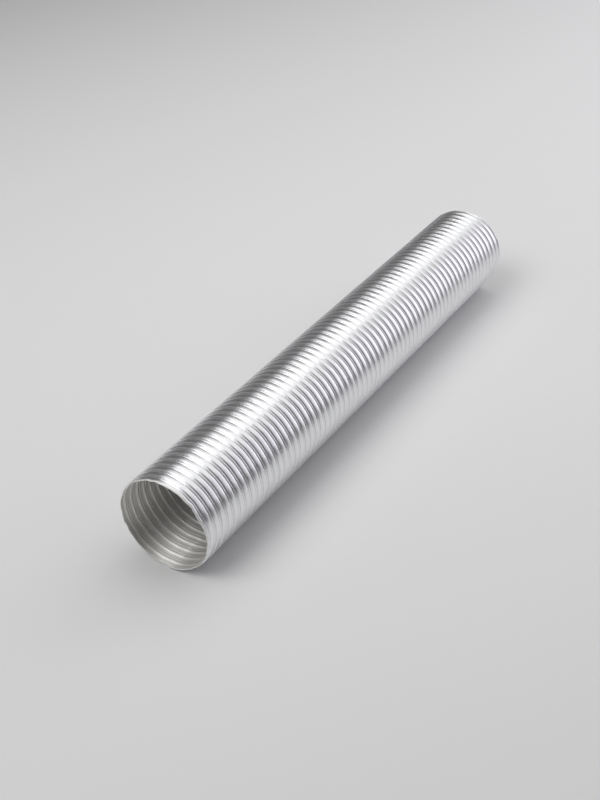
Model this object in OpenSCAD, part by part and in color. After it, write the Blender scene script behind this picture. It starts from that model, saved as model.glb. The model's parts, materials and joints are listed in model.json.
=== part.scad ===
// Semi-rigid aluminium air duct.
// One aluminium strip is rolled into a raised band, wound like a screw, and
// folded into the edge of the turn before it with a four-ply lock seam.
// Each turn of the strip is modelled as a ring that hooks into its neighbours.
// The stiff turns keep their shape, the flex turns between them give way when
// the duct is bent, drawn out or pushed together, and the two cuffs are the
// turns that slip over a pipe stub.
// The duct lies along X on the plane Z = 0, centred on the origin.

/* [Duct] */
// Inside diameter, measured over the seams
bore_d = 100.4; // [75:0.1:160]
// Distance from one seam to the next
pitch = 9.92; // [8.5:0.02:14]
// Thickness of the strip
foil_t = 0.15; // [0.1:0.01:0.2]
// Height of a band above the floor of the groove beside it
band_h = 1.65; // [1.2:0.05:2.4]
// Squareness of a band: 2 is a half ellipse, higher is flatter on top
band_square = 3.2; // [2:0.1:5]

/* [Lock seam] */
// Width of the folded seam, between the middles of its outer folds
seam_w = 2.0; // [1.6:0.05:2.6]
// Width of the groove on each side of the seam
groove_w = 0.9; // [0.5:0.05:1.4]
// Play between the folded plies of the seam
ply_gap = 0.05; // [0.03:0.01:0.08]

/* [Make-up] */
// Number of whole turns in each cuff, besides the half turn that is cut open
cuff_turns = 4; // [1:1:8]
// Number of stiff turns between the two cuffs
stiff_turns = 28; // [2:1:28]

/* [Resting flat] */
// Depth of the flat that the bands rest on
flat_depth = 0.5; // [0.3:0.05:0.8]

/* [Hidden] */
flex_turns = stiff_turns + 1;
whole_turns = 2 * cuff_turns + stiff_turns + flex_turns;
duct_l = (whole_turns + 1) * pitch;
bore_r = bore_d / 2;
crest_r = bore_r + foil_t + band_h;
axis_z = crest_r - flat_depth;
// Distance from one ply of a seam to the next
ply_step = foil_t + ply_gap;
// Distance from the middle of a fold to the tip of the strip that slips into it
tip_gap = foil_t / 2 + ply_gap;
// Angle between two neighbouring points of a band's outline
band_step = 15;
// Facets of the preview; the solids are true surfaces of revolution
$fn = 180;

function two_digits(n) = str(n < 10 ? "0" : "", n);
function flex_name(n) = str("flex_turn_", two_digits(n));
function stiff_name(n) = str("stiff_turn_", two_digits(n));

// Seams are counted from 0 at the near end, and turn n lies between seams n - 1 and n.
function seam_x(n) = (n + 0.5) * pitch - duct_l / 2;

// The middle of ply n of a seam, counted outwards from the bore.
function ply_r(n) = bore_r + foil_t / 2 + n * ply_step;

// Points here are [distance along the duct, radius], on the middle of the strip.

// The fold of the far edge lies one ply inside the near edge's last corner.
far_fold_x = seam_w / 2 - ply_step;

// The near edge: it lies over the seam, folds back and slips in as ply 1.
near_hook = [
    [far_fold_x - tip_gap, ply_r(1)],
    [-seam_w / 2, ply_r(1)],
    [-seam_w / 2, ply_r(3)],
    [seam_w / 2, ply_r(3)],
    [seam_w / 2, ply_r(0)]
];

// The far edge: it runs under the seam as ply 0, folds up and back as ply 2.
far_hook = [
    [pitch + far_fold_x, ply_r(0)],
    [pitch + far_fold_x, ply_r(2)],
    [pitch - seam_w / 2 + tip_gap, ply_r(2)]
];

function power(base, exponent) = sign(base) * pow(abs(base), exponent);

// The raised band between two grooves, a flattened half ellipse.
function band(from_angle, to_angle) = [
    for (a = [from_angle : band_step : to_angle])
        [
            pitch / 2 - (pitch / 2 - seam_w / 2 - groove_w) * power(cos(a), 2 / band_square),
            ply_r(0) + band_h * power(sin(a), 2 / band_square)
        ]
];

function unit(v) = v / norm(v);
function left_of(v) = [-v.y, v.x];

// Moves point n of a line sideways by d, along the line that halves its corner.
function shifted(line, n, d) =
    let (
        before = n > 0 ? unit(line[n] - line[n - 1]) : unit(line[1] - line[0]),
        after = n < len(line) - 1 ? unit(line[n + 1] - line[n]) : before,
        middle = unit(left_of(before) + left_of(after))
    )
    line[n] + middle * d / (middle * left_of(after));

// The outline of a strip that is foil_t thick along a line.
function strip(line) = concat(
    [for (n = [0 : len(line) - 1]) shifted(line, n, foil_t / 2)],
    [for (n = [len(line) - 1 : -1 : 0]) shifted(line, n, -foil_t / 2)]
);

// Spins an outline round the axis of the duct, which lies along X.
module spin(outline)
    rotate([0, 90, 0])
        rotate([0, 0, 180])
            rotate_extrude()
                polygon([for (p = outline) [p.y, p.x]]);

// The space above the resting plane, which lies axis_z below the axis of the duct.
module above_floor()
    translate([-pitch, -2 * crest_r, -axis_z])
        cube([3 * pitch, 4 * crest_r, 4 * crest_r]);

// The pressed flat that closes the foot of a band.
module resting_flat(band_line)
    intersection() {
        translate([-pitch, -crest_r, -axis_z])
            cube([3 * pitch, 2 * crest_r, foil_t]);
        spin(concat(
            [[band_line[0].x, ply_r(0)]],
            band_line,
            [[band_line[len(band_line) - 1].x, ply_r(0)]]
        ));
    }

// One turn of the strip, after the seam at x = 0 of its own frame.
module turn(n, first_angle = 0, last_angle = 180) {
    band_line = band(first_angle, last_angle);
    line = concat(
        first_angle == 0 ? near_hook : [],
        band_line,
        last_angle == 180 ? far_hook : []
    );
    color("silver")
        translate([seam_x(n - 1), 0, axis_z]) {
            intersection() {
                spin(strip(line));
                above_floor();
            }
            resting_flat(band_line);
        }
}

// The turns at the near end, with the cut edge, which slip over a pipe stub.
module near_cuff() {
    turn(0, first_angle = 90);
    for (n = [1 : cuff_turns]) turn(n);
}

// The turns at the far end, with the cut edge.
module far_cuff() {
    for (n = [1 : cuff_turns]) turn(whole_turns - n + 1);
    turn(whole_turns + 1, last_angle = 90);
}

// Turn number n of those that give way when the duct is bent or drawn out.
module flex_turn(n) turn(cuff_turns + 2 * n - 1);

// Turn number n of those that keep their shape.
module stiff_turn(n) turn(cuff_turns + 2 * n);

near_cuff();
for (n = [1 : flex_turns])
    flex_turn(n);
for (n = [1 : stiff_turns])
    stiff_turn(n);
far_cuff();
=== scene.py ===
import json
import math

import bmesh
import bpy
import numpy as np
from mathutils import Matrix, Vector


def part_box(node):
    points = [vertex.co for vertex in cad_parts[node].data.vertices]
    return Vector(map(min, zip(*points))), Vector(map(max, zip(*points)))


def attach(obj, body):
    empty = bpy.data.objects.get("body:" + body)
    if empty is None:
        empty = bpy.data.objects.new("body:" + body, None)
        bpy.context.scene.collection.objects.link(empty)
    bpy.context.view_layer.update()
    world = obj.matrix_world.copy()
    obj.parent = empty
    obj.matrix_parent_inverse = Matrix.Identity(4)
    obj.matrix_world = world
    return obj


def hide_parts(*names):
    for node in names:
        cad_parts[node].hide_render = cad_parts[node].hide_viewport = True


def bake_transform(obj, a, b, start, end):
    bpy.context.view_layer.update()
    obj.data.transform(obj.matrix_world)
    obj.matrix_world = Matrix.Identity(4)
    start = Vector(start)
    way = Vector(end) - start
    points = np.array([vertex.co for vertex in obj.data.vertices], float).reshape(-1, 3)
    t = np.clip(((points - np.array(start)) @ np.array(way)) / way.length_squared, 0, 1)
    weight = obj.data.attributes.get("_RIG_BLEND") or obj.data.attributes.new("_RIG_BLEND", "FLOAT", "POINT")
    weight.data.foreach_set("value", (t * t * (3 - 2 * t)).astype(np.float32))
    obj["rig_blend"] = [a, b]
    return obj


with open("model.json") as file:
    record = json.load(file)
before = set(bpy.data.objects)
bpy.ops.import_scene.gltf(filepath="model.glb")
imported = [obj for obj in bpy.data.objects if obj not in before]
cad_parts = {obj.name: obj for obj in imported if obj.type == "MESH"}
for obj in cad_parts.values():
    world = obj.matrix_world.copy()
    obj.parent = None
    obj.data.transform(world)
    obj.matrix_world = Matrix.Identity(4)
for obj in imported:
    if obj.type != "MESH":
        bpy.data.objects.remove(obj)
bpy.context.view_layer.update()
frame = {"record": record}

MM = 0.001

# ---------------------------------------------------------------- the duct's driving sizes
WHOLE_TURNS = 66            # from cut end to cut end
CUFF_TURNS = 4              # whole turns in each cuff
FOIL = 0.15 * MM            # thickness of the strip
PLY_GAP = 0.05 * MM         # play between the folded plies of the seam
SEAM_W = 2.0 * MM           # width of the folded seam
GROOVE_W = 0.9 * MM         # groove on each side of the seam
BAND_H = 1.65 * MM          # height of a band above the groove's floor
BAND_SQUARE = 6.0           # 2 is a half ellipse, higher is flatter on top
BAND_CROWN = 0.13 * MM      # how far a band's shoulders lie below its middle
SEAM_CROWN = 0.48 * MM      # how far the seam's outer plies arch over its middle
FLAT_DEPTH = 0.5 * MM       # how deep the bands are pressed flat where the duct rests
FLOOR_FILLET = 0.40 * MM    # radius between the groove's floor and a band
FOLD_FILLET = 0.16 * MM     # radius of the seam's outer corner

near_low, near_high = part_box("near_cuff")
_, far_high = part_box("far_cuff")
near_x, far_x = near_low.x, far_high.x
pitch = (far_x - near_x) / WHOLE_TURNS
crest_r = (near_high.y - near_low.y) / 2
axis_z = crest_r - FLAT_DEPTH
bore_r = crest_r - BAND_H - FOIL
ply_step = FOIL + PLY_GAP

SECTIONS = 128              # straight facets round one turn
FIRST_SEAM = 0.42           # turns from the cut end to the first seam, where the duct faces -Y
SEAM_STEPS = 6              # straight parts across the top of a seam


# ---------------------------------------------------------------- the strip's cross-section
def ply_r(n):
    """Radius of the middle of ply n of a seam, counted outwards from the bore."""
    return bore_r + FOIL / 2 + n * ply_step


def half_turn(x, from_r, to_r, side, steps=4):
    """A fold from one ply to another, bulging towards side."""
    middle, radius = (from_r + to_r) / 2, (to_r - from_r) / 2
    angles = [math.pi * (i / (steps - 1) - 0.5) for i in range(steps)]
    return [(x + side * radius * math.cos(a), middle + radius * math.sin(a)) for a in angles]


def fillet(before, corner, after, radius, steps=3):
    """Points on the arc that rounds a square corner of the strip."""
    before, corner, after = (np.array(p, float) for p in (before, corner, after))
    to_before = (before - corner) / np.linalg.norm(before - corner)
    to_after = (after - corner) / np.linalg.norm(after - corner)
    centre = corner + radius * (to_before + to_after)
    points = []
    for i in range(steps):
        a = math.pi / 2 * i / (steps - 1)
        points.append(tuple(centre - radius * (math.sin(a) * to_before + math.cos(a) * to_after)))
    return points


def band_line(steps=12):
    """The raised band between two grooves, a flattened half ellipse."""
    half = pitch / 2 - SEAM_W / 2 - GROOVE_W
    power = 2 / BAND_SQUARE
    points = []
    for i in range(1, steps):
        a = math.pi * i / steps
        along = math.copysign(abs(math.cos(a)) ** power, math.cos(a))
        height = BAND_H * math.sin(a) ** power - BAND_CROWN * along ** 2
        points.append((pitch / 2 - half * along, ply_r(0) + max(height, 0)))
    return points


def between(start, end, steps=4):
    """Points that divide the way from start to end, without its ends."""
    start, end = np.array(start, float), np.array(end, float)
    return [tuple(start + (end - start) * i / steps) for i in range(1, steps)]


def crowned(point, seam_x):
    """A point of the strip, moved outwards where it belongs to the arched plies of a seam."""
    x, radius = point
    across = min(abs(x - seam_x) / (SEAM_W / 2), 1)
    lifted = min(max((radius - ply_r(0)) / ply_step, 0), 1)
    return x, radius + SEAM_CROWN * (1 - across ** 2) * lifted


def strip_line():
    """The middle of the strip from its near edge to its far edge, as (distance, radius)."""
    fold_x = SEAM_W / 2 - ply_step
    tip_gap = FOIL / 2 + PLY_GAP
    corner = SEAM_W / 2
    foot = corner + GROOVE_W
    far_foot = pitch - foot
    band_top = ply_r(0) + BAND_H
    near_tip = (fold_x - tip_gap, ply_r(1))
    near_fold = half_turn(-corner + ply_step, ply_r(1), ply_r(3), -1)
    far_fold = half_turn(pitch + fold_x - ply_step, ply_r(0), ply_r(2), 1)
    far_tip = (pitch - corner + tip_gap, ply_r(2))
    line = [near_tip] + between(near_tip, near_fold[0]) + near_fold
    line += between(near_fold[-1], (corner - FOLD_FILLET, ply_r(3)), SEAM_STEPS)
    line += fillet((-corner, ply_r(3)), (corner, ply_r(3)), (corner, ply_r(0)), FOLD_FILLET)
    line += fillet((corner, ply_r(3)), (corner, ply_r(0)), (foot, ply_r(0)), FLOOR_FILLET)
    line += fillet((corner, ply_r(0)), (foot, ply_r(0)), (foot, band_top), FLOOR_FILLET)
    line += band_line()
    line += fillet((far_foot, band_top), (far_foot, ply_r(0)), (pitch, ply_r(0)), FLOOR_FILLET)
    line += far_fold + between(far_fold[-1], far_tip) + [far_tip]
    return np.array([crowned(point, 0 if point[0] < pitch / 2 else pitch) for point in line])


def left_normals(line):
    """Unit normal to the left of each segment of an open line."""
    step = np.diff(line, axis=0)
    step /= np.linalg.norm(step, axis=1, keepdims=True)
    return np.stack([-step[:, 1], step[:, 0]], axis=1)


def strip_outline(line):
    """The closed outline of the strip: its outside from the near edge to the far edge, and its
    inside back. Returns the points and each point's smooth normal."""
    sides = left_normals(line)
    smooth = np.vstack([sides[:1], sides[:-1] + sides[1:], sides[-1:]])
    smooth /= np.linalg.norm(smooth, axis=1, keepdims=True)
    reach = FOIL / 2 / np.einsum("ij,ij->i", smooth, np.vstack([sides, sides[-1:]]))
    reach = np.minimum(reach, FOIL)
    outside = line + smooth * reach[:, None]
    inside = line - smooth * reach[:, None]
    return np.vstack([outside, inside[::-1]]), np.vstack([smooth, -smooth[::-1]])


outline, outline_normals = strip_outline(strip_line())
outline_count = len(outline)
# Distance along the outline, which the material reads as the place across the strip.
outline_run = np.concatenate([[0], np.cumsum(np.linalg.norm(np.diff(outline, axis=0), axis=1))])


# ---------------------------------------------------------------- unevenness of a real duct
def waves(angle, terms):
    """Sum of amplitude * sin(times * angle + phase), and its slope."""
    value, slope = np.zeros_like(angle), np.zeros_like(angle)
    for amplitude, times, phase in terms:
        value += amplitude * np.sin(times * angle + phase)
        slope += amplitude * times * np.cos(times * angle + phase)
    return value, slope


# The waves of a cut end: height, number round the duct and phase.
RIM_AXIAL = ((0.25 * MM, 3, 0.4), (0.20 * MM, 7, 2.1), (0.22 * MM, 13, 1.0),
             (0.20 * MM, 23, 4.0), (0.16 * MM, 37, 0.9))
RIM_RADIAL = ((0.18 * MM, 4, 1.2), (0.16 * MM, 9, 3.3), (0.15 * MM, 17, 0.2),
              (0.10 * MM, 31, 2.2))
# How far the waves are turned round the duct, one way at each end, so that the ends differ.
AXIAL_TURN, RADIAL_TURN = 0.7, -1.1
RIM_REACH = 7 * MM          # how far the cut end's unevenness runs into the duct
CURL_REACH = 2.0 * MM       # length of the cut end that the saw has turned in
CURL_DEPTH = 0.8            # share of its height above the bore by which it is turned in
CURL_LIMIT = 0.97           # share of the quarter circle that the turned-in end follows
# Where the mesh is divided for it, as shares of its length.
CURL_CUTS = (0.04, 0.1, 0.2, 0.35, 0.55, 0.8, 1.0)
# Shallow dents: place along the duct, angle from -Y over the top, reach and depth.
DENTS = (
    (-0.215, math.radians(38), 0.020, 0.30 * MM),
    (-0.120, math.radians(112), 0.026, 0.34 * MM),
    (-0.030, math.radians(15), 0.022, 0.26 * MM),
    (0.085, math.radians(70), 0.030, 0.30 * MM),
    (0.190, math.radians(-10), 0.024, 0.32 * MM),
    (0.040, math.radians(200), 0.028, 0.34 * MM),
    (-0.180, math.radians(235), 0.024, 0.30 * MM),
    (0.240, math.radians(150), 0.022, 0.26 * MM),
)


def wrapped(angle):
    """The same angle, from minus half a turn to half a turn."""
    return (angle + math.pi) % (2 * math.pi) - math.pi


def curl(distance):
    """How far a cut end is turned in, from 0 to 1, at a distance from the cut, and its slope."""
    t = np.clip(1 - distance / CURL_REACH, 0, CURL_LIMIT)
    return 1 - np.sqrt(1 - t ** 2), -t / np.sqrt(1 - t ** 2) / CURL_REACH


def unevenness(x, angle, radius):
    """Radial shift, its slopes along x and round the duct, and the axial shift at the rims.
    Every radial shift points inwards, so the duct stays within its own size."""
    shift, slope_x, slope_a = np.zeros_like(x), np.zeros_like(x), np.zeros_like(x)
    for place, at_angle, reach, depth in DENTS:
        dx, da = (x - place) / reach, wrapped(angle - at_angle) * crest_r / reach
        bell = depth * np.exp(-(dx ** 2 + da ** 2))
        shift -= bell
        slope_x += bell * 2 * dx / reach
        slope_a += bell * 2 * da * crest_r / reach
    # The duct rests on the pressed feet of its bands.
    down = wrapped(angle + math.pi / 2)
    foot = np.abs(down) < math.acos(axis_z / crest_r)
    from_foot = np.where(foot, down, 0)
    shift += np.where(foot, axis_z / np.cos(from_foot) - crest_r, 0)
    slope_a += axis_z * np.sin(from_foot) / np.cos(from_foot) ** 2
    free = np.where(foot, 0, 1)
    axial = np.zeros_like(x)
    for end_x, inwards in ((near_x, 1), (far_x, -1)):
        turned, steepness = curl((x - end_x) * inwards)
        depth = CURL_DEPTH * (radius - bore_r)
        shift -= depth * turned
        slope_x -= depth * steepness * inwards
        fade = np.exp(-((x - end_x) / RIM_REACH) ** 2)
        wave, _ = waves(angle + AXIAL_TURN * inwards, RIM_AXIAL)
        axial += inwards * fade * (wave + sum(t[0] for t in RIM_AXIAL))
        wave, slope = waves(angle + RADIAL_TURN * inwards, RIM_RADIAL)
        depth = wave - sum(t[0] for t in RIM_RADIAL)
        shift += fade * depth * free
        slope_a += fade * slope * free
        slope_x -= 2 * (x - end_x) / RIM_REACH ** 2 * fade * depth * free
    return shift, slope_x, slope_a, axial


# ---------------------------------------------------------------- sweeping and cutting
# How many turns the strip is wound before and after a piece, for its neighbours' edges.
WOUND_BEFORE, WOUND_AFTER = 2.2, 0.2
CUT_TOLERANCE = 1e-8        # a vertex nearer to the cutting plane than this isn't cut off
SAME_POINT = 1e-6           # vertices of a cut nearer to each other than this are one
ON_CUT = 1e-6               # open edges nearer to a cut than this belong to it
EDGE_MARGIN = 0.001         # share of a segment within which a vertex is at its end


def swept_strip(from_x, to_x):
    """A mesh of the strip wound over a little more than from_x to to_x, open at both its ends.
    Vertices hold their place on the outline and along the strip, and faces their segment."""
    first = math.floor(((from_x - near_x) / pitch - WOUND_BEFORE - FIRST_SEAM) * SECTIONS)
    last = math.ceil(((to_x - near_x) / pitch + WOUND_AFTER - FIRST_SEAM) * SECTIONS)
    steps = np.arange(first, last + 1)
    angle = steps * 2 * math.pi / SECTIONS
    x = near_x + pitch * (FIRST_SEAM + steps[:, None] / SECTIONS) + outline[None, :, 0]
    r = np.broadcast_to(outline[None, :, 1], x.shape)
    y = -r * np.cos(angle)[:, None]
    z = axis_z + r * np.sin(angle)[:, None]
    rows = len(steps)
    mesh = bpy.data.meshes.new("strip")
    mesh.vertices.add(rows * outline_count)
    mesh.vertices.foreach_set("co", np.stack([x, y, z], axis=-1).ravel().astype(np.float32))
    i, j = np.meshgrid(np.arange(rows - 1), np.arange(outline_count), indexing="ij")
    k = (j + 1) % outline_count
    corners = [i * outline_count + j, i * outline_count + k]
    corners += [(i + 1) * outline_count + k, (i + 1) * outline_count + j]
    faces = np.stack(corners, axis=-1).reshape(-1, 4)
    mesh.loops.add(faces.size)
    mesh.loops.foreach_set("vertex_index", faces.ravel().astype(np.int32))
    mesh.polygons.add(len(faces))
    mesh.polygons.foreach_set("loop_start", np.arange(0, faces.size, 4, dtype=np.int32))
    mesh.update(calc_edges=True)
    across = np.broadcast_to(np.arange(outline_count, dtype=float), x.shape)
    along = np.broadcast_to((angle * crest_r)[:, None], x.shape)
    for name, values in (("across", across), ("along", along)):
        layer = mesh.attributes.new(name, "FLOAT", "POINT")
        layer.data.foreach_set("value", values.ravel().astype(np.float32))
    layer = mesh.attributes.new("segment", "INT", "FACE")
    layer.data.foreach_set("value", (j.ravel() + 1).astype(np.int32))
    return mesh


def cut_rim(bm, place):
    """The vertices of the open edges at a cut, in the mesh's order."""
    open_edges = (edge for edge in bm.edges if edge.is_boundary)
    ends = (v for edge in open_edges for v in edge.verts if abs(v.co.x - place) < ON_CUT)
    return list(dict.fromkeys(ends))


def close_cut(bm, place, outwards):
    """Closes the strip where it is cut at place, like a ladder between its two sides."""
    across, segment = bm.verts.layers.float["across"], bm.faces.layers.int["segment"]
    along = bm.verts.layers.float["along"]
    # The first merge can open edges that bring more vertices to the cut.
    for _ in range(2):
        rim = cut_rim(bm, place)
        bmesh.ops.remove_doubles(bm, verts=rim, dist=SAME_POINT)
    last_outside, last = outline_count // 2 - 1, outline_count - 1
    outside, inside = [], []
    for v in (v for v in rim if v.is_valid):
        at = v[across]
        near_edge = any(f[segment] == outline_count for f in v.link_faces)
        if near_edge and EDGE_MARGIN < at < last - EDGE_MARGIN:
            # On the strip's near edge, ahead of everything on its inside.
            inside.append((-1, -v[along], v))
        elif at < last_outside + 1 - EDGE_MARGIN:
            outside.append((at, 0, v))
        else:
            inside.append((last - at, 0, v))
    outside.sort(key=lambda entry: entry[:2])
    inside.sort(key=lambda entry: entry[:2])
    faces = []
    i = j = 0
    while i < len(outside) - 1 or j < len(inside) - 1:
        on_outside = j == len(inside) - 1 or (
            i < len(outside) - 1 and outside[i + 1][0] <= inside[j + 1][0])
        third = outside[i + 1][2] if on_outside else inside[j + 1][2]
        face = bm.faces.new((outside[i][2], third, inside[j][2]))
        face[segment] = 0
        face.normal_update()
        faces.append(face)
        i, j = (i + 1, j) if on_outside else (i, j + 1)
    if sum(face.normal.x * face.calc_area() for face in faces) * outwards < 0:
        for face in faces:
            face.normal_flip()


def cut_across(bm, place, direction, clear_outer=False):
    """Divides every face that crosses a plane at place, and clears what lies past it if asked."""
    bmesh.ops.bisect_plane(
        bm, geom=bm.verts[:] + bm.edges[:] + bm.faces[:], dist=CUT_TOLERANCE,
        plane_co=(place, 0, 0), plane_no=(direction, 0, 0), clear_outer=clear_outer)


def cut_to(mesh, from_x, to_x):
    """Cuts the mesh square across at both places and closes it there."""
    bm = bmesh.new()
    bm.from_mesh(mesh)
    for place, outwards in ((from_x, -1), (to_x, 1)):
        cut_across(bm, place, outwards, clear_outer=True)
    for end_x, inwards in ((near_x, 1), (far_x, -1)):
        if from_x <= end_x <= to_x:
            for share in CURL_CUTS:
                cut_across(bm, end_x + inwards * share * CURL_REACH, 1)
    for place, outwards in ((from_x, -1), (to_x, 1)):
        close_cut(bm, place, outwards)
    bm.to_mesh(mesh)
    bm.free()


# ---------------------------------------------------------------- final shape and shading
TINY = 1e-9                 # keeps a normal of no length from dividing by zero
SAWN_AND_HIGHLIGHT_FADE = 1.6             # how steeply the sawn look, and the painted highlight of the rim, fade away from a cut end
OUTSIDE, INSIDE, SAWN_AND_HIGHLIGHT = 0.0, 1.0, 2.0       # the faces of the strip, as the material reads them; the last also marks the painted highlight at the cut ends


def read(items, name, kind, width=1):
    """One property of all the items of a mesh, as an array with width columns."""
    values = np.empty(len(items) * width, kind)
    items.foreach_get(name, values)
    return values.reshape(-1, width) if width > 1 else values


def shape_and_shade(mesh):
    """Gives the mesh its unevenness, and the true normals of the strip at every corner."""
    co = read(mesh.vertices, "co", np.float32, 3).astype(float)
    across = read(mesh.attributes["across"].data, "value", np.float32)
    along = read(mesh.attributes["along"].data, "value", np.float32)
    segment = read(mesh.attributes["segment"].data, "value", np.int32)
    radius = np.hypot(co[:, 1], co[:, 2] - axis_z)
    angle = np.arctan2(co[:, 2] - axis_z, -co[:, 1])
    shift, slope_x, slope_a, axial = unevenness(co[:, 0], angle, radius)
    out = np.stack([-np.cos(angle), np.sin(angle)], axis=1)
    around = np.stack([np.sin(angle), np.cos(angle)], axis=1)
    moved = np.empty_like(co)
    moved[:, 0] = co[:, 0] + axial
    moved[:, 1] = (radius + shift) * out[:, 0]
    moved[:, 2] = (radius + shift) * out[:, 1] + axis_z
    mesh.vertices.foreach_set("co", moved.ravel().astype(np.float32))

    v = read(mesh.loops, "vertex_index", np.int32)
    sizes = read(mesh.polygons, "loop_total", np.int32)
    corner_segment = np.repeat(segment, sizes)
    corner_flat = np.repeat(read(mesh.polygons, "normal", np.float32, 3), sizes, axis=0)

    start = np.maximum(corner_segment - 1, 0)
    share = across[v] - start
    share = np.clip(np.where(share < -1, share + outline_count, share), 0, 1)[:, None]
    end = (start + 1) % outline_count
    section = outline_normals[start] * (1 - share) + outline_normals[end] * share
    section /= np.maximum(np.linalg.norm(section, axis=1, keepdims=True), TINY)
    n_x = section[:, 0] - section[:, 1] * slope_x[v]
    lead = pitch / (2 * math.pi)
    n_a = -(section[:, 0] * lead + section[:, 1] * slope_a[v]) / radius[v]
    normal = np.empty((len(v), 3))
    normal[:, 0] = n_x
    normal[:, 1] = section[:, 1] * out[v, 0] + n_a * around[v, 0]
    normal[:, 2] = section[:, 1] * out[v, 1] + n_a * around[v, 1]
    normal /= np.linalg.norm(normal, axis=1, keepdims=True)
    # The cut ends and the strip's two edges are flat.
    edges = (outline_count // 2, outline_count)
    square = (corner_segment == 0) | np.isin(corner_segment, edges)
    normal[square] = corner_flat[square]

    # What the material reads: place along the strip, place across it, and which face it is.
    place = np.interp(across, np.arange(outline_count), outline_run)
    from_cut = np.minimum(np.abs(co[:, 0] - near_x), np.abs(co[:, 0] - far_x))
    # Near a cut end the sawn look fades in; the material also lightens the colour there as a painted
    # highlight on the rim.
    sawn_and_highlight = np.clip(SAWN_AND_HIGHLIGHT_FADE * (1 - from_cut / CURL_REACH), 0, 1)
    is_inside = place > outline_run[outline_count // 2]
    face = np.maximum(SAWN_AND_HIGHLIGHT * sawn_and_highlight, np.where(is_inside, INSIDE, OUTSIDE))
    layer = mesh.attributes.new("strip_place", "FLOAT_VECTOR", "POINT")
    vectors = np.stack([along, place, face], axis=1)
    layer.data.foreach_set("vector", vectors.ravel().astype(np.float32))
    for name in ("across", "along", "segment"):
        mesh.attributes.remove(mesh.attributes[name])
    mesh.update()
    mesh.polygons.foreach_set("use_smooth", np.ones(len(mesh.polygons), bool))
    mesh.normals_split_custom_set(normal)


def duct_piece(name, from_x, to_x, material):
    """The duct from from_x to to_x, as one piece of foil."""
    mesh = swept_strip(from_x, to_x)
    cut_to(mesh, from_x, to_x)
    shape_and_shade(mesh)
    mesh.materials.append(material)
    piece = bpy.data.objects.new(name, mesh)
    bpy.context.scene.collection.objects.link(piece)
    return piece


# ---------------------------------------------------------------- materials
class Nodes:
    """A short way to write a material's nodes."""

    def __init__(self, tree):
        self.tree = tree
        tree.nodes.clear()

    def add(self, kind, settings=(), **inputs):
        """A node with its settings, and its inputs as values or as sockets to link."""
        node = self.tree.nodes.new(kind)
        for key, value in dict(settings).items():
            setattr(node, key, value)
        for key, value in inputs.items():
            self.set(node, key.replace("_", " "), value)
        return node

    def set(self, node, key, value):
        """Links an input to a socket, or gives it a value. A digit counts unnamed inputs."""
        socket = node.inputs[int(key)] if key.strip().isdigit() else node.inputs[key]
        if isinstance(value, bpy.types.NodeSocket):
            self.tree.links.new(value, socket)
        else:
            socket.default_value = value

    def mix_colour(self, factor, a, b):
        """Colour a where factor is 0 and colour b where it is 1."""
        node = self.tree.nodes.new("ShaderNodeMix")
        node.data_type = "RGBA"
        for socket in node.inputs:
            if socket.name == "Factor" and socket.type == "VALUE":
                self.tree.links.new(factor, socket)
            elif socket.type == "RGBA":
                value = a if socket.name == "A" else b
                if isinstance(value, bpy.types.NodeSocket):
                    self.tree.links.new(value, socket)
                else:
                    socket.default_value = value
        return next(socket for socket in node.outputs if socket.type == "RGBA")

    def math(self, operation, a, b):
        """The result of an operation on two values."""
        node = self.tree.nodes.new("ShaderNodeMath")
        node.operation = operation
        self.set(node, "0", a)
        self.set(node, "1", b)
        return node.outputs[0]


def new_material(name):
    """An empty material and its nodes."""
    material = bpy.data.materials.new(name)
    material.use_nodes = True
    return material, Nodes(material.node_tree)


# Repeats per metre along and across the strip.
ROLLING_LINES = (60, 9000, 1)
CLOUDS = (45, 160, 1)
BRIGHT_DARKER, BRIGHT_LIGHTER = (0.86, 0.86, 0.88, 1), (0.92, 0.92, 0.93, 1)
MATT_COLOUR = (0.94, 0.93, 0.91, 1)
# Colour of the cut ends: partly the sawn metal's own look, partly a painted highlight that whitens the rim.
SAWN_AND_HIGHLIGHT_COLOUR = (0.99, 0.99, 0.98, 1)
SMOOTHEST, ROUGHEST = 0.28, 0.34            # of the bright face
MATT_ROUGHER, SAWN_ROUGHER = 0.26, 0.35     # how much rougher the other faces are
LINE_DEPTH = 0.03 * MM
FLOOR_COLOUR = (0.86, 0.86, 0.86, 1)


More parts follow.
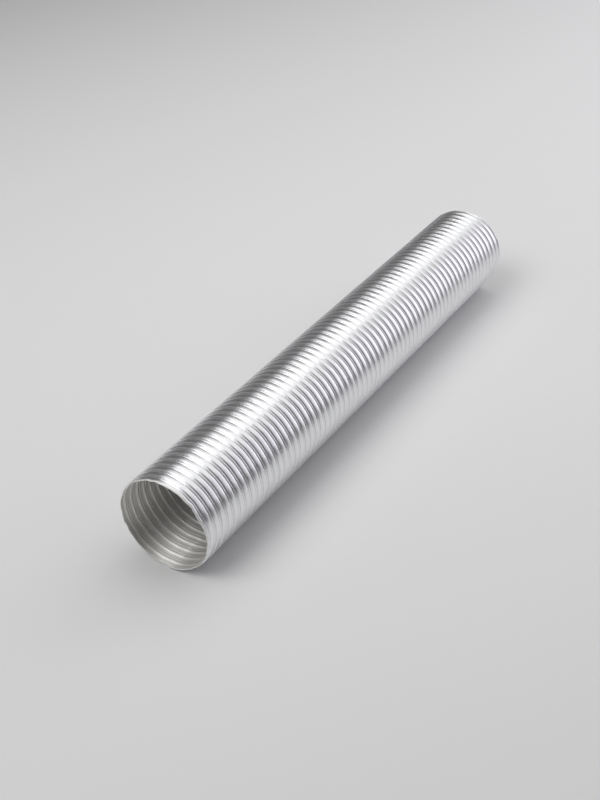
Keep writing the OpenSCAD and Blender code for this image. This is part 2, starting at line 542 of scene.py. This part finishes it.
def aluminium():
    """Mill-finish foil: rolling lines along the strip and an uneven sheen."""
    material, nodes = new_material("mill_finish_aluminium")
    place = nodes.add("ShaderNodeAttribute", {"attribute_name": "strip_place"}).outputs["Vector"]
    rolled = nodes.add("ShaderNodeMapping", Vector=place, Scale=ROLLING_LINES)
    lines = nodes.add("ShaderNodeTexNoise", {"noise_dimensions": "2D"},
                      Vector=rolled.outputs[0], Scale=1.0, Detail=3.0, Roughness=0.6)
    cloudy = nodes.add("ShaderNodeMapping", Vector=place, Scale=CLOUDS)
    cloud = nodes.add("ShaderNodeTexNoise", {"noise_dimensions": "2D"},
                      Vector=cloudy.outputs[0], Scale=1.0, Detail=2.0, Roughness=0.5)
    colour = nodes.mix_colour(cloud.outputs[0], BRIGHT_DARKER, BRIGHT_LIGHTER)
    face = nodes.add("ShaderNodeSeparateXYZ", Vector=place).outputs["Z"]
    matt = nodes.add("ShaderNodeMapRange", Value=face, From_Min=OUTSIDE, From_Max=INSIDE)
    sawn_and_highlight = nodes.add("ShaderNodeMapRange", Value=face, From_Min=INSIDE, From_Max=SAWN_AND_HIGHLIGHT)
    colour = nodes.mix_colour(matt.outputs[0], colour, MATT_COLOUR)
    # Lightens the colour near the cut ends: a painted highlight on the rim, together with the sawn edge.
    colour = nodes.mix_colour(sawn_and_highlight.outputs[0], colour, SAWN_AND_HIGHLIGHT_COLOUR)
    rough = nodes.add("ShaderNodeMapRange", Value=lines.outputs[0], To_Min=SMOOTHEST,
                      To_Max=ROUGHEST).outputs[0]
    for other, rougher in ((matt, MATT_ROUGHER), (sawn_and_highlight, SAWN_ROUGHER)):
        rough = nodes.math("ADD", rough, nodes.math("MULTIPLY", other.outputs[0], rougher))
    bump = nodes.add("ShaderNodeBump", Height=lines.outputs[0], Strength=0.12,
                     Distance=LINE_DEPTH)
    tangent = nodes.add("ShaderNodeTangent", {"direction_type": "RADIAL", "axis": "X"})
    shader = nodes.add("ShaderNodeBsdfPrincipled", Metallic=1.0, Anisotropic=0.62,
                       Anisotropic_Rotation=0.25)
    nodes.set(shader, "Base Color", colour)
    nodes.set(shader, "Roughness", rough)
    nodes.set(shader, "Normal", bump.outputs[0])
    nodes.set(shader, "Tangent", tangent.outputs[0])
    nodes.add("ShaderNodeOutputMaterial", Surface=shader.outputs[0])
    return material


def pale_floor():
    """A plain, matt floor."""
    material, nodes = new_material("pale_floor")
    shader = nodes.add("ShaderNodeBsdfDiffuse", Color=FLOOR_COLOUR)
    nodes.add("ShaderNodeOutputMaterial", Surface=shader.outputs[0])
    return material


# ---------------------------------------------------------------- the duct, piece by piece
foil = aluminium()
bodies = list(frame["record"]["behaviour"]["bodies"])


def turn_x(n):
    """Middle of turn n, counted from the half turn at the near cut end."""
    return near_x + n * pitch


# Spans whose bend is worked out from the body after them, which gives the same bend.
TURNED_SPANS = (2, 4, 6, 9, 13, 16, 28)
# Spans in two stiff halves, which share one turn and slide along each other at the joint.
NESTED_SPANS = (5, 25)
NEST_GAP = 0.03 * MM        # how far the far half's foil is set outwards of the near half's


def set_outwards(mesh, distance):
    """Widens a piece of the duct a little, so that it lies over the piece before it."""
    for vertex in mesh.vertices:
        across = Vector((0, vertex.co.y, vertex.co.z - axis_z))
        vertex.co += across.normalized() * distance


def nested_halves(number, start_x, end_x, body, next_body):
    """A span as two stiff halves, one on each body."""
    name = f"duct_foil_{number:02d}"
    near_half = duct_piece(f"{name}_near_half", start_x, end_x - pitch / 2, foil)
    far_half = duct_piece(f"{name}_far_half", start_x + pitch / 2, end_x, foil)
    set_outwards(far_half.data, NEST_GAP)
    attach(near_half, body)
    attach(far_half, next_body)
    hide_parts(f"flex_turn_{number:02d}")
    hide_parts(f"stiff_turn_{number:02d}")


def bending_span(number, start_x, end_x, body, next_body):
    """A span as one piece that bends from one body to the next."""
    start, end = Vector((start_x, 0, axis_z)), Vector((end_x, 0, axis_z))
    span = duct_piece(f"duct_foil_{number:02d}", start_x, end_x, foil)
    if number in TURNED_SPANS:
        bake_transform(span, next_body, body, start=end, end=start)
    else:
        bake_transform(span, body, next_body, start=start, end=end)
    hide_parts(f"flex_turn_{number:02d}")
    if next_body != bodies[-1]:
        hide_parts(f"stiff_turn_{number:02d}")


near_cuff = duct_piece("near_cuff_foil", near_x, turn_x(CUFF_TURNS), foil)
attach(near_cuff, bodies[0])
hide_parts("near_cuff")
for number, (body, next_body) in enumerate(zip(bodies, bodies[1:]), start=1):
    start_x = turn_x(CUFF_TURNS + 2 * number - 2)
    end_x = turn_x(CUFF_TURNS + 2 * number)
    make = nested_halves if number in NESTED_SPANS else bending_span
    make(number, start_x, end_x, body, next_body)
far_cuff = duct_piece("far_cuff_foil", turn_x(WHOLE_TURNS - CUFF_TURNS), far_x, foil)
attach(far_cuff, bodies[-1])
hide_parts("far_cuff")

# ---------------------------------------------------------------- camera, floor and light
CAMERA_PLACE = (-1.0159, -0.5772, 0.8193)
CAMERA_DOWN = math.radians(35.0)
CAMERA_HEADING = math.radians(31.7)     # from +X towards +Y
PICTURE_HEIGHT = 800                    # pixels
FOCAL_PIXELS = 1244                     # the focal length, in pixels of that picture
SENSOR = 36.0                           # mm

camera_data = bpy.data.cameras.new("camera")
camera_data.sensor_width = SENSOR
camera_data.lens = SENSOR * FOCAL_PIXELS / PICTURE_HEIGHT
camera = bpy.data.objects.new("camera", camera_data)
camera.location = CAMERA_PLACE
camera.rotation_euler = (math.pi / 2 - CAMERA_DOWN, 0, CAMERA_HEADING - math.pi / 2)
bpy.context.scene.collection.objects.link(camera)
bpy.context.scene.camera = camera

HALF_FLOOR = 6.0
floor_mesh = bpy.data.meshes.new("floor")
corners = [(x * HALF_FLOOR, y * HALF_FLOOR, 0) for x, y in ((-1, -1), (1, -1), (1, 1), (-1, 1))]
floor_mesh.from_pydata(corners, [], [(0, 1, 2, 3)])
floor_mesh.materials.append(pale_floor())
floor = bpy.data.objects.new("floor", floor_mesh)
bpy.context.scene.collection.objects.link(floor)


WHITE, LILAC = (1, 1, 1), (0.985, 0.965, 1.03)
FACES_ACROSS = 0.1          # a lamp that faces along X by less than this faces the duct's side


def panel(name, centre, towards, size, radiance, colour):
    """A flat lamp that shines as bright as radiance. Its first side lies level."""
    lamp = bpy.data.lights.new(name, "AREA")
    lamp.shape = "RECTANGLE"
    lamp.size, lamp.size_y = size
    lamp.energy = radiance * math.pi * size[0] * size[1]
    lamp.color = colour
    holder = bpy.data.objects.new(name, lamp)
    back = (Vector(centre) - Vector(towards)).normalized()
    faces_across = abs(back.x) < FACES_ACROSS
    side = Vector((1, 0, 0)) if faces_across else Vector((0, 0, 1)).cross(back)
    side = (side - back * side.dot(back)).normalized()
    turn = Matrix((side, back.cross(side), back)).transposed().to_4x4()
    holder.matrix_world = Matrix.Translation(centre) @ turn
    holder.visible_camera = False
    bpy.context.scene.collection.objects.link(holder)


# Soft boxes stand round the duct at one distance from its axis: name, angle from -Y over the
# top in degrees, half of its width likewise, from and to along the duct, radiance, colour.
BOX_REACH = 1.6
BOXES = (
    ("side_wall_low_near", 10, 10, 0.2, 1.2, 0.08, LILAC),
    ("side_wall_low_far", 10, 10, 1.2, 4.6, 1.5, LILAC),
    ("side_wall_near", 40, 20, -0.3, 1.4, 0.52, LILAC),
    ("side_wall_far", 40, 20, 1.4, 4.6, 1.62, LILAC),
    ("side_wall_high", 75, 15, -0.3, 4.6, 0.92, WHITE),
    ("strip_near", 110, 20, -0.6, 1.2, 1.06, WHITE),
    ("strip_middle", 100, 10, 1.2, 2.1, 1.08, WHITE),
    ("strip_far", 104, 14, 2.1, 4.6, 0.98, WHITE),
    ("strip_back", 105, 15, -2.6, -0.6, 0.6, WHITE),
    ("back_fill_near", 155, 15, -2.6, 0.4, 0.17, WHITE),
    ("back_fill_far", 155, 15, 0.4, 4.6, 0.04, WHITE),
)
OVERHEAD_PLACE, OVERHEAD_SIZE, OVERHEAD_RADIANCE = (-1.7, 0.7, 2.3), (1.8, 1.4), 3.4
ROOM_STRENGTH = 0.05

for name, angle, half_angle, from_x, to_x, radiance, colour in BOXES:
    angle, half_angle = math.radians(angle), math.radians(half_angle)
    reach = BOX_REACH * math.cos(half_angle)
    middle_x = (from_x + to_x) / 2
    centre = (middle_x, -reach * math.cos(angle), axis_z + reach * math.sin(angle))
    size = (to_x - from_x, 2 * BOX_REACH * math.sin(half_angle))
    panel(name, centre, (middle_x, 0, axis_z), size, radiance, colour)
panel("overhead_back", OVERHEAD_PLACE, (0, 0, axis_z), OVERHEAD_SIZE, OVERHEAD_RADIANCE, WHITE)


def studio_world():
    """The dark room round the boxes."""
    world = bpy.data.worlds.new("studio")
    bpy.context.scene.world = world
    world.use_nodes = True
    nodes = Nodes(world.node_tree)
    background = nodes.add("ShaderNodeBackground", Color=(1, 1, 1, 1), Strength=ROOM_STRENGTH)
    nodes.add("ShaderNodeOutputWorld", Surface=background.outputs[0])


studio_world()

bpy.context.scene.view_settings.view_transform = "Standard"
